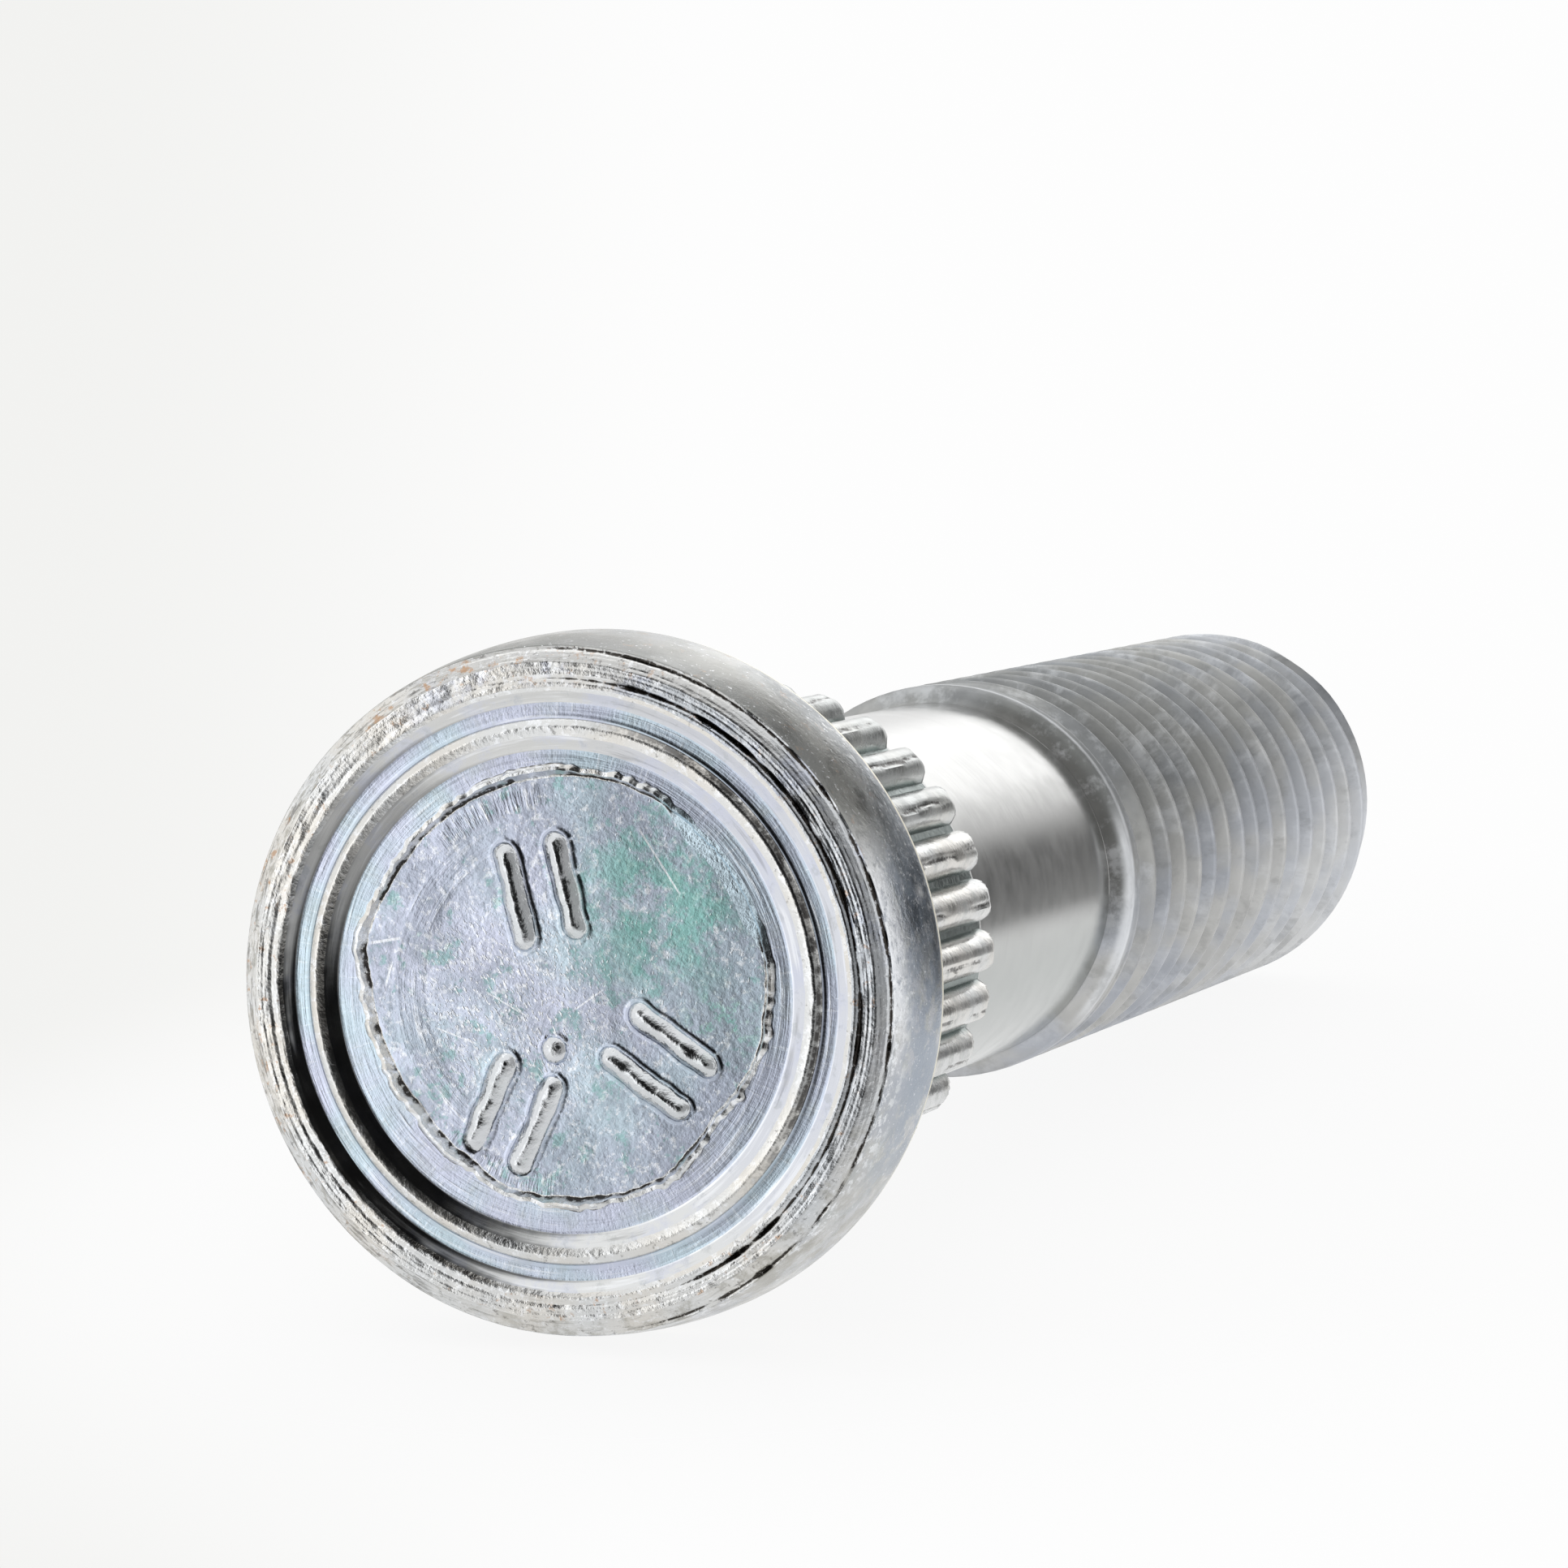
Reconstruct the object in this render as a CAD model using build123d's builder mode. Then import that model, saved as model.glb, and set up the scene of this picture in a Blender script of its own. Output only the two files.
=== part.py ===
"""Press-in wheel stud: one forged piece with a round head, a serrated neck, a plain shank and a threaded end.

The stud stands on its head face. The origin is the centre of that face, and +Z runs along the axis to the tip.
All sizes are in millimetres.
"""

import os
from math import asin, ceil, degrees, radians, tan

from build123d import *

# Radii, built outwards from the thread
thread_diameter = 11.9
thread_rise = 0.5          # the rolled thread stands this far above the plain shank
neck_step = 1.15           # from the plain shank out to the roots of the serrations
tooth_height = 0.55
seat_width = 1.95          # flat ledge under the head, outside the serrations

# Lengths along the axis, from the head face to the tip
head_thickness = 3.9
serration_length = 10.9
plain_length = 16.5        # from the end of the serrations to the start of the thread
run_out_length = 0.7       # cone from the shank up to the thread
thread_length = 30.2
tip_chamfer = 1.3

# Thread: one right-hand helical groove with a vee section, between narrow crests
thread_pitch = 1.75
depth_per_pitch = 0.585
groove_turn = 180          # the groove starts on the side away from +X

# Serrations
tooth_count = 30
tooth_base_width = 1.2
tooth_crest_width = 0.42
tooth_sink = 0.4           # depth of the tooth's foot in the neck
neck_taper_angle = 45      # between the neck's end cone and the axis
neck_fillet = 0.8          # inside corner between that cone and the plain shank

# Head flank and rim
flank_lean = 0.26          # the flank is this much smaller at the face than at the rim
rim_chamfer = 0.18

# Rings of the head face, from the rim towards the centre
bevel_width = 0.4
bevel_depth = 0.28
outer_band_width = 0.62
slope_width = 0.4          # sloping band on the inner side of each raised ring
outer_ring_width = 0.38
ridge_fall_width = 0.26    # outer side of the inner raised ring
ridge_land_width = 0.16
inner_ring_width = 1.0
ridge_height = 0.16        # raised rings above the flat rings
disc_drop = 0.15           # centre disc below the inner flat ring

# Radii that follow from the sizes above
thread_radius = thread_diameter / 2
shank_radius = thread_radius - thread_rise
root_radius = shank_radius + neck_step
crest_radius = root_radius + tooth_height
head_radius = crest_radius + seat_width
flank_radius = head_radius - flank_lean
bevel_radius = flank_radius - bevel_width
band_radius = bevel_radius - outer_band_width
outer_ring_outside = band_radius - slope_width
outer_ring_inside = outer_ring_outside - outer_ring_width
land_outside = outer_ring_inside - ridge_fall_width
land_inside = land_outside - ridge_land_width
inner_ring_outside = land_inside - slope_width
disc_radius = inner_ring_outside - inner_ring_width

# Heights that follow from the sizes above
disc_height = ridge_height + disc_drop
serration_end = head_thickness + serration_length
neck_taper_length = neck_step / tan(radians(neck_taper_angle))
thread_start = serration_end + plain_length
full_thread_start = thread_start + run_out_length
full_thread_end = full_thread_start + thread_length
tip_height = full_thread_end + tip_chamfer
tip_radius = thread_radius - tip_chamfer

# Section of the thread's groove: it follows from the pitch, and its mouth stands a little outside the crests
crest_width = thread_pitch / 8   # flat crests, as on a metric thread
groove_depth = thread_pitch * depth_per_pitch
groove_overcut = crest_width / 2
groove_floor_radius = thread_radius - groove_depth
groove_mouth_radius = thread_radius + groove_overcut
groove_mouth_width = (thread_pitch - crest_width) * (groove_depth + groove_overcut) / groove_depth
groove_start = full_thread_start + thread_pitch / 2
groove_turns = ceil((tip_height + groove_mouth_width / 2 - groove_start) / thread_pitch)

# One tooth of the serrations, pointing along +X: a rib with a narrow crest, whose far end slopes down to its foot
tooth_half_angle = degrees(asin(tooth_base_width / 2 / root_radius))
tooth_foot_radius = root_radius - tooth_sink
tooth_slope_reach = head_radius - tooth_foot_radius

with BuildPart() as tooth:
    with BuildSketch(Plane.XY.offset(head_thickness)):
        with BuildLine():
            low_root = PolarLine((0, 0), root_radius, -tooth_half_angle, mode=Mode.PRIVATE) @ 1
            high_root = PolarLine((0, 0), root_radius, tooth_half_angle, mode=Mode.PRIVATE) @ 1
            Polyline(
                low_root,
                (crest_radius, -tooth_crest_width / 2),
                (crest_radius, tooth_crest_width / 2),
                high_root,
                (tooth_foot_radius, high_root.Y),
                (tooth_foot_radius, low_root.Y),
                close=True,
            )
        make_face()
    extrude(amount=serration_length)
    with BuildSketch(Plane.XZ):
        with BuildLine():
            Polyline(
                (tooth_foot_radius, serration_end),
                (head_radius, serration_end - tooth_slope_reach),
                (head_radius, serration_end),
                close=True,
            )
        make_face()
    extrude(amount=tooth_base_width, both=True, mode=Mode.SUBTRACT)

# One turn of the thread's groove, with its section wound along a helix
with BuildPart() as groove_coil:
    with BuildLine() as winding:
        Helix(thread_pitch, thread_pitch, groove_floor_radius, center=(0, 0, groove_start))
    with BuildSketch(Plane.XZ):
        with BuildLine():
            Polyline(
                (groove_floor_radius, groove_start),
                (groove_mouth_radius, groove_start + groove_mouth_width / 2),
                (groove_mouth_radius, groove_start - groove_mouth_width / 2),
                close=True,
            )
        make_face()
    sweep(path=winding.line, is_frenet=True)

# The whole stud: half its section turned about the axis, with the serrations on its neck and the thread cut in
with BuildPart() as wheel_stud:
    with BuildSketch(Plane.XZ) as half_section:
        taper_end = (shank_radius, serration_end + neck_taper_length)
        with BuildLine():
            face = Polyline(
                (0, disc_height),
                (disc_radius, disc_height),
                (disc_radius, ridge_height),
                (inner_ring_outside, ridge_height),
                (land_inside, 0),
                (land_outside, 0),
                (outer_ring_inside, ridge_height),
                (outer_ring_outside, ridge_height),
                (band_radius, 0),
                (bevel_radius, 0),
                (flank_radius, bevel_depth),
            )
            rim = (head_radius, head_thickness - rim_chamfer)
            TangentArc(rim, face @ 1, tangent=(0, -1))
            Polyline(
                rim,
                (head_radius - rim_chamfer, head_thickness),
                (root_radius, head_thickness),
                (root_radius, serration_end),
                taper_end,
                (shank_radius, thread_start),
                (thread_radius, full_thread_start),
                (thread_radius, full_thread_end),
                (tip_radius, tip_height),
                (0, tip_height),
                face @ 0,
            )
        make_face()
        fillet(half_section.vertices().sort_by_distance(taper_end)[0], neck_fillet)
    revolve(axis=Axis.Z)
    with PolarLocations(0, tooth_count):
        add(tooth.part)
    for turn in range(groove_turns):
        with Locations((0, 0, turn * thread_pitch)):
            add(groove_coil.part, rotation=(0, 0, groove_turn), mode=Mode.SUBTRACT)

wheel_stud.part.label = "wheel_stud"

os.makedirs("parts", exist_ok=True)
export_step(wheel_stud.part, "parts/wheel_stud.step")
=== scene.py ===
"""Looks of a zinc-plated press-in wheel stud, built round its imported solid.

The stud stands on its head face at the origin, with +Z along its axis to the tip. The view shows it lying
on a white table and looks at its head face, so the table and the camera are tilted against the frame. In
that view +X is right and -Y is up. Sizes are in millimetres until a point is written.
"""

from math import asin, cos, degrees, hypot, pi, radians, sin, sqrt, tan

import bmesh
import bpy
from mathutils import Matrix, Vector, noise


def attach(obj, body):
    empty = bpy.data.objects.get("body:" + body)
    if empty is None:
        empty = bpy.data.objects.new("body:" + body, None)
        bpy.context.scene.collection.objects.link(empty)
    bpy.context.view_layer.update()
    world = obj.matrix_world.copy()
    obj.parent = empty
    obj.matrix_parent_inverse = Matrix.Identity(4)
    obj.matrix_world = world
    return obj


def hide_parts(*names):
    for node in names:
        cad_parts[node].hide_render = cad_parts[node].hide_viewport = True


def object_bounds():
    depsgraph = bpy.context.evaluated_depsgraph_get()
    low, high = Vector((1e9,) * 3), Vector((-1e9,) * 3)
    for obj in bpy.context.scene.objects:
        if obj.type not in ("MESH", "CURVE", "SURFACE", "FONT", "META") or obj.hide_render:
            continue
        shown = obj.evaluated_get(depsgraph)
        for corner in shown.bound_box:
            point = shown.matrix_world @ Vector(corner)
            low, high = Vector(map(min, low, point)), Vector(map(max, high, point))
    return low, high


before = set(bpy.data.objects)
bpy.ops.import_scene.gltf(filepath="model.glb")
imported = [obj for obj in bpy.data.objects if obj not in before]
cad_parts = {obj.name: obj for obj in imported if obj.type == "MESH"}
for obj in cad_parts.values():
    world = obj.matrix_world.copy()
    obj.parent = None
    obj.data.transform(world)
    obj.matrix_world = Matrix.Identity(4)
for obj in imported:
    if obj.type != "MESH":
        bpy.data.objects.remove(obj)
cad_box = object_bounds()

MM = 0.001

# Sizes of the solid, the first two from its box
HEAD_RADIUS = cad_box[1][0] / MM
TIP_HEIGHT = cad_box[1][2] / MM
SEAT_HEIGHT = 3.9
RIM_CHAMFER = 0.18
FLANK_RADIUS = 8.84
BEVEL_RADIUS = 8.44
BEVEL_DEPTH = 0.28
BAND_RADIUS = 7.82
OUTER_RING_OUTSIDE = 7.42
LAND_INSIDE = 6.62
INNER_RING_OUTSIDE = 6.22
RING_HEIGHT = 0.16
DISC_HEIGHT = 0.31
ROOT_RADIUS = 6.6
CREST_RADIUS = 7.15
TOOTH_COUNT = 30
TOOTH_BASE_WIDTH = 1.2
SERRATION_END = 14.8
NECK_TAPER = 45            # degrees between the neck's cone and the axis
NECK_FILLET = 0.8
SHANK_RADIUS = 5.45
THREAD_START = 31.3
THREAD_RUN_OUT = 0.7
THREAD_RADIUS = 5.95
THREAD_FLOOR_RADIUS = 4.93
PITCH = 1.75
TIP_CHAMFER = 1.3

# How finely each zone is divided
DISC_STEP = 0.075
DISC_FIRST_COUNT = 6       # points of the innermost ring
FACE_COUNT = 560
FLANK_COUNT = 360
SHANK_COUNT = 84

FULL_TURN = 2 * pi


def blend(low, high, value):
    """0 below low, 1 above high and a smooth rise between."""
    share = min(max((value - low) / (high - low), 0), 1)
    return share * share * (3 - 2 * share)


def turn(count):
    """Evenly spaced angles round the axis."""
    return [FULL_TURN * step / count for step in range(count)]


def plane_noise(x, y, scale, seed):
    """Smooth noise over a plane, from -1 to 1."""
    return noise.noise(Vector((scale * x, scale * y, seed)))


def ripple(angle, waves, seed):
    """Smooth noise round the axis, from -1 to 1, with about so many waves in a turn."""
    return plane_noise(cos(angle), sin(angle), waves / FULL_TURN, seed)


def rough_ripple(angle, coarse, fine, share, seeds):
    """Coarse waves round the axis, with a share of finer ones on them."""
    return ripple(angle, coarse, seeds[0]) + share * ripple(angle, fine, seeds[1])


def seen_angle(angle):
    """Degrees counter-clockwise from the right as the head face is seen, from an angle about +Z."""
    return degrees(-angle) % 360


# The closed surface
class Skin:
    """One closed surface, made ring by ring from the middle of the head face to the middle of the tip."""

    def __init__(self, finishes):
        self.finishes = finishes
        self.points = []
        self.wear = []
        self.faces = []
        self.face_finish = []
        self.edge = None

    def spot(self, angle, radius, height, wear=0.0):
        """Adds one point and returns its angle and number."""
        self.points.append((radius * cos(angle) * MM, radius * sin(angle) * MM, height * MM))
        self.wear.append(wear)
        return angle, len(self.points) - 1

    def face(self, finish, *corners):
        self.faces.append(corners)
        self.face_finish.append(self.finishes.index(finish))

    def cap(self, height, spots, finish):
        """A middle point and the ring round it. Without spots, it closes the last ring."""
        middle = self.spot(0, 0, height)[1]
        if spots:
            self.edge = [self.spot(*spot) for spot in spots]
        for (_, here), (_, after) in zip(self.edge, self.edge[1:] + self.edge[:1]):
            self.face(finish, middle, here, after)

    def ring(self, spots, finish):
        """A ring of points, stitched to the ring before it."""
        ring = [self.spot(*spot) for spot in spots]
        if len(ring) == len(self.edge):
            self.join_alike(self.edge, ring, finish)
        else:
            self.join_unlike(self.edge, ring, finish)
        self.edge = ring

    def join_alike(self, old, new, finish):
        """Quads between two rings with the same count."""
        for step in range(len(old)):
            after = (step + 1) % len(old)
            self.face(finish, old[step][1], old[after][1], new[after][1], new[step][1])

    def join_unlike(self, old, new, finish):
        """Triangles between two rings with different counts, always taking the nearer next angle."""
        old = old + [(old[0][0] + FULL_TURN, old[0][1])]
        new = new + [(new[0][0] + FULL_TURN, new[0][1])]
        old_step = new_step = 0
        while old_step < len(old) - 1 or new_step < len(new) - 1:
            old_next = old[old_step + 1][0] if old_step < len(old) - 1 else 2 * FULL_TURN
            new_next = new[new_step + 1][0] if new_step < len(new) - 1 else 2 * FULL_TURN
            if old_next <= new_next:
                self.face(finish, old[old_step][1], old[old_step + 1][1], new[new_step][1])
                old_step += 1
            else:
                self.face(finish, old[old_step][1], new[new_step + 1][1], new[new_step][1])
                new_step += 1


# Centre disc of the head face, with its raised marks
MARK_PLACES = ((-0.7, 2.55), (2.6, -1.65), (-1.35, -3.2))   # as seen: right, up
MARK_SPREAD = 1.4          # between the two dashes of a pair
MARK_LENGTH = 2.9
MARK_WIDTH = 0.76
MARK_RISE = 0.26
MARK_WOBBLE = 0.07         # waviness of the outlines
MARK_DENT = 0.05           # hammered hollows in the tops
PIP_PLACE = (-0.25, -1.5)
PIP_RADIUS = 0.36
PIP_RISE = 0.2
DISC_SWELL = 0.012


def dash_depth(x, y, place, side):
    """How far inside the outline of one radial dash a point lies, negative outside."""
    reach = hypot(*place)
    out_x, out_y = place[0] / reach, place[1] / reach
    along = (x - place[0]) * out_x + (y - place[1]) * out_y
    across = (x - place[0]) * -out_y + (y - place[1]) * out_x - side * MARK_SPREAD / 2
    past_end = max(abs(along) - (MARK_LENGTH - MARK_WIDTH) / 2, 0)
    return MARK_WIDTH / 2 - hypot(past_end, across)


def mark_rise(x, y):
    """Height of the raised dashes and the pip at a point of the disc, as seen: right, up."""
    inside = max(dash_depth(x, y, place, side) for place in MARK_PLACES for side in (-1, 1))
    inside += MARK_WOBBLE * plane_noise(x, y, 1.7, 3)
    share = min(max(inside / (MARK_WIDTH / 2), 0), 1)
    dent = MARK_DENT * max(plane_noise(x, y, 2.6, 5), 0)
    dashes = (MARK_RISE - dent) * sin(share * pi / 2)
    off = hypot(x - PIP_PLACE[0], y - PIP_PLACE[1]) / PIP_RADIUS
    pip = PIP_RISE * sqrt(1 - off * off) if off < 1 else 0
    return max(dashes, pip)


# Flash line round the disc: (seen angle, radius)
FLASH_LINE = (
    (16, 5.48), (50, 5.5), (79, 5.57), (113, 5.46), (148, 5.44), (170, 5.56), (184, 5.3), (206, 5.13),
    (222, 5.04), (239, 5.11), (253, 5.33), (270, 5.27), (297, 5.34), (325, 5.06), (349, 5.37), (376, 5.48),
)
FLASH_GAP_START = (12, 24)  # seen angles over which the line breaks away
FLASH_GAP_END = (51, 63)    # seen angles over which it comes back
FLASH_GAP_MIDDLE = (FLASH_GAP_START[0] + FLASH_GAP_END[1]) / 2
FLASH_GAP_SETBACK = 0.3    # the disc ends this much further in where the line is broken away
FLASH_FOOT_WIDTH = 0.04    # between the disc's edge and the foot of the line
FLASH_BURR = 0.12
FLASH_LEAN = 0.57          # width of its inner side for each unit of its rise
FLASH_JAG = 0.045
FLASH_STANDING = (-0.35, 0.45)  # noise at which the burr is torn away and stands whole
FLASH_PITTED = (-0.6, 0.4)  # noise at which the foot is clean and full of dirt
FLASH_FOOT_DIRT = 1.1

# Roughness of the flash line: coarse waves in a turn, fine waves, share of the fine ones and two seeds
FLASH_OUTLINE = (45, 150, 0.8, (11, 12))
FLASH_TEARS = (24, 120, 0.5, (21, 22))
FLASH_PITS = (30, 170, 0.6, (23, 24))

FLASH_ROWS = (
    # outwards from the crest: width, shares of the burr as more width and as height, dirt, finish
    (0.0, 0.0, 1.0, 0.0, "flash"),
    (0.08, 0.0, 0.9, 0.0, "flash"),
    (0.11, 0.5, 0.05, 0.6, "flash"),
    (0.14, 0.5, 0.0, 0.0, "ring"),
    (0.17, 0.5, 0.0, 0.0, "ring"),
)


def flash_radius(angle):
    """Radius of the rough line where the disc steps up to the inner ring."""
    seen = seen_angle(angle)
    seen += 360 if seen < FLASH_LINE[0][0] else 0
    for (start, start_radius), (end, end_radius) in zip(FLASH_LINE, FLASH_LINE[1:]):
        if start <= seen <= end:
            base = start_radius + (end_radius - start_radius) * blend(start, end, seen)
    return base + FLASH_JAG * rough_ripple(angle, *FLASH_OUTLINE)


def flash_gap(angle):
    """1 where the flash line is broken away, 0 elsewhere."""
    seen = seen_angle(angle)
    return blend(*FLASH_GAP_START, seen) * (1 - blend(*FLASH_GAP_END, seen))


def add_disc(skin):
    """The centre disc, from its middle to the foot of the flash line."""
    rows = round(flash_radius(0) / DISC_STEP)
    for row in range(1, rows + 1):
        share = row / rows
        count = max(DISC_FIRST_COUNT, round(FULL_TURN * share * rows))
        spots = []
        for angle in turn(count):
            edge = flash_radius(angle) - FLASH_FOOT_WIDTH - FLASH_GAP_SETBACK * flash_gap(angle)
            radius = share * edge
            x, y = radius * cos(angle), -radius * sin(angle)
            swell = DISC_SWELL * plane_noise(x, y, 0.55, 7)
            spots.append((angle, radius, DISC_HEIGHT + swell - mark_rise(x, y)))
        if row == 1:
            skin.cap(DISC_HEIGHT, spots, "disc")
        else:
            skin.ring(spots, "disc")


def add_flash(skin):
    """The step from the disc up to the inner ring, with its torn burr."""
    step = DISC_HEIGHT - RING_HEIGHT
    feet = []
    rows = [[] for _ in FLASH_ROWS]
    for angle in turn(FACE_COUNT):
        whole = 1 - flash_gap(angle)
        standing = blend(*FLASH_STANDING, rough_ripple(angle, *FLASH_TEARS))
        pitted = blend(*FLASH_PITTED, rough_ripple(angle, *FLASH_PITS))
        burr = FLASH_BURR * whole * standing
        foot = flash_radius(angle)
        crest = foot + FLASH_LEAN * (step + burr)
        feet.append((angle, foot, DISC_HEIGHT, FLASH_FOOT_DIRT * whole * pitted))
        for spots, (width, spread, rise, dirt, _) in zip(rows, FLASH_ROWS):
            radius = crest + width + spread * burr
            spots.append((angle, radius, RING_HEIGHT - rise * burr, dirt * whole * standing))
    skin.ring(feet, "flash")
    for spots, row in zip(rows, FLASH_ROWS):
        skin.ring(spots, row[-1])


# Rings of the head face outside the flash line
FACE_START = 6.08
LAND_TILT = 0.018          # the land leans inwards by this height
LAND_EDGE = 6.81
FALL_BREAK = (6.97, 0.1)   # the outer side of the raised ring steepens here
FALL_FOOT = 7.0
LIP_RADIUS = 7.74          # torn lip between the outer slope and the band
LIP_HEIGHT = 0.012
FACE_RUNS = (
    # radius and height at both ends of a run, its finish, and the step along it
    ((FACE_START, RING_HEIGHT), (INNER_RING_OUTSIDE, RING_HEIGHT), "ring", 0.1),
    ((INNER_RING_OUTSIDE, RING_HEIGHT), (LAND_INSIDE, LAND_TILT), "slope", 0.08),
    ((LAND_INSIDE, LAND_TILT), (LAND_EDGE, 0), "land", 0.05),
    ((LAND_EDGE, 0), FALL_BREAK, "land", 0.03),
    (FALL_BREAK, (FALL_FOOT, RING_HEIGHT), "land", 0.05),
    ((FALL_FOOT, RING_HEIGHT), (OUTER_RING_OUTSIDE, RING_HEIGHT), "ring", 0.1),
    ((OUTER_RING_OUTSIDE, RING_HEIGHT), (LIP_RADIUS, LIP_HEIGHT), "slope", 0.08),
    ((LIP_RADIUS, LIP_HEIGHT), (BAND_RADIUS, 0), "land", 0.05),
    ((BAND_RADIUS, 0), (BEVEL_RADIUS, 0), "band", 0.031),
    ((BEVEL_RADIUS, 0), (FLANK_RADIUS, BEVEL_DEPTH), "bevel", 0.04),
)
CORNER_EASE = 0.03
WORN_CORNERS = {LAND_INSIDE: 0.08, LIP_RADIUS: 0.06}
FACE_SWELL = 0.004
FACE_SWELL_WAVES = 11

TORN_EDGES = (
    # torn edges of the raised rings: radius, half width, most shift, waves in a turn, seed
    (LAND_INSIDE, 0.14, 0.05, 75, 31),
    (LAND_EDGE, 0.1, 0.035, 80, 32),
    (LIP_RADIUS, 0.13, 0.05, 75, 33),
    (BEVEL_RADIUS, 0.1, 0.03, 60, 34),
)
TORN_FINE_WAVES = 1.8      # finer waves for each coarse one
TORN_FINE_SHARE = 0.6

BAND_GROOVES = (
    # turned grooves of the band and bevel: radius, half width, depth, unevenness, how much it keeps right
    (8.0, 0.1, 0.1, 0.6, 0.85),
    (8.15, 0.03, 0.008, 0.6, 0.6),
    (8.25, 0.04, 0.014, 0.5, 0.5),
    (8.36, 0.03, 0.008, 0.6, 0.6),
    (8.5, 0.04, 0.02, 0.8, 0.3),
    (8.62, 0.03, 0.014, 0.7, 0.0),
    (8.74, 0.08, 0.09, 0.8, 0.92),
)
GROOVE_WANDER = 0.035
GROOVE_WANDER_WAVES = 12
GROOVE_USUAL_CUT = 0.7     # shares of a groove's depth
GROOVE_MOST_CUT = 1.4
GROOVE_DIRT = (0.022, 0.075)  # depths at which a groove is still clean and already full of dirt
SCALE_DEPTH = 0.02         # flaked relief of the outer band and the bevel
SCALE_FADE = 0.1           # width over which the flakes begin
RIGHT_SIDE = (-0.35, 0.5)  # places from left to right, as cosines, where the right side begins and is full
RIGHT_TURN = 0.2


def right_share(angle):
    """1 on the right of the head face as seen, 0 on the left."""
    return blend(*RIGHT_SIDE, cos(angle + RIGHT_TURN))


def torn_shift(radius, angle):
    """How far a point of the rings is moved along the radius by a torn edge beside it."""
    shift = 0
    for edge, half_width, most, waves, seed in TORN_EDGES:
        near = max(1 - abs(radius - edge) / half_width, 0)
        if near:
            fine = TORN_FINE_WAVES * waves
            shift += most * near * rough_ripple(angle, waves, fine, TORN_FINE_SHARE, (seed, seed + 0.5))
    return shift


def groove_depth(radius, angle):
    """Depth of the turned grooves at a point of the outer band and bevel."""
    depth = 0
    for groove, half_width, most, unevenness, sided in BAND_GROOVES:
        wander = GROOVE_WANDER * ripple(angle, GROOVE_WANDER_WAVES, groove)
        near = max(1 - abs(radius - groove - wander) / half_width, 0)
        if near:
            cut = GROOVE_USUAL_CUT + rough_ripple(angle, 30, 100, 0.7, (groove + 5, groove + 6))
            share = 1 - unevenness + unevenness * min(max(cut, 0), GROOVE_MOST_CUT)
            depth += most * near * share * (1 - sided * (1 - right_share(angle)))
    return depth


def scales(radius, angle):
    """Depth of the flaked relief at a point of the outer band and bevel."""
    flakes = rough_ripple(angle, 90, 210, 0.5, (3.1 * radius, 6.1 * radius))
    return SCALE_DEPTH * max(flakes, 0) * blend(BAND_RADIUS, BAND_RADIUS + SCALE_FADE, radius)


def run_points(start, end, step):
    """Points along one straight run of the section, clear of its eased corners."""
    wide, high = end[0] - start[0], end[1] - start[1]
    length = hypot(wide, high)
    first = WORN_CORNERS.get(start[0], CORNER_EASE)
    straight = length - first - WORN_CORNERS.get(end[0], CORNER_EASE)
    pieces = max(round(straight / step), 1)
    shares = [(first + straight * piece / pieces) / length for piece in range(pieces + 1)]
    return [(start[0] + wide * share, start[1] + high * share) for share in shares]


def add_face(skin):
    """The flat rings, sloping bands, raised ridge, outer band and bevel of the head face."""
    for start, end, finish, step in FACE_RUNS:
        for radius, height in run_points(start, end, step):
            spots = []
            for angle in turn(FACE_COUNT):
                swell = FACE_SWELL * (1 + ripple(angle, FACE_SWELL_WAVES, radius)) if height else 0
                depth = groove_depth(radius, angle) + scales(radius, angle) + swell
                wear = blend(*GROOVE_DIRT, depth)
                spots.append((angle, radius + torn_shift(radius, angle), height + depth, wear))
            skin.ring(spots, finish)


# Head flank, rim and seat
FLANK_TOP = 3.35           # height where the flank is widest
FLANK_CURVE = (HEAD_RADIUS - FLANK_RADIUS) / (FLANK_TOP - BEVEL_DEPTH) ** 2
FLANK_SWELL = 0.008
RIM_CURVE = 0.5
RIM_HEIGHT = SEAT_HEIGHT - RIM_CHAMFER
RIM_FINISH_HEIGHT = 3.45
FLANK_HEIGHTS = (
    0.31, 0.38, 0.48, 0.65, 0.9, 1.25, 1.65, 2.1, 2.5, 2.85, 3.1, 3.3, 3.42, 3.52, 3.62, RIM_HEIGHT,
)
RIM_ROUNDING = (
    # inwards from the flank's end, height
    (0.05, RIM_HEIGHT + 0.08),
    (0.12, SEAT_HEIGHT - 0.03),
    (0.2, SEAT_HEIGHT),
)
SEAT_RADII = (8.3, 7.6)


def flank_at(height):
    """Radius of the barrelled flank at a height."""
    curve = FLANK_CURVE if height < FLANK_TOP else RIM_CURVE
    return HEAD_RADIUS - curve * (height - FLANK_TOP) ** 2


def add_flank(skin):
    """The barrelled flank, the rounded rim and the seat under the head."""
    for height in FLANK_HEIGHTS:
        spots = []
        for angle in turn(FLANK_COUNT):
            swell = FLANK_SWELL * (plane_noise(cos(angle), sin(angle), 2.2, 0.6 * height) - 1)
            spots.append((angle, flank_at(height) + swell, height))
        skin.ring(spots, "rim" if height > RIM_FINISH_HEIGHT else "flank")
    profile = [(flank_at(RIM_HEIGHT) - inset, height, "rim") for inset, height in RIM_ROUNDING]
    profile += [(radius, SEAT_HEIGHT, "flank") for radius in SEAT_RADII]
    for radius, height, finish in profile:
        skin.ring([(angle, radius, height) for angle in turn(FLANK_COUNT)], finish)


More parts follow.
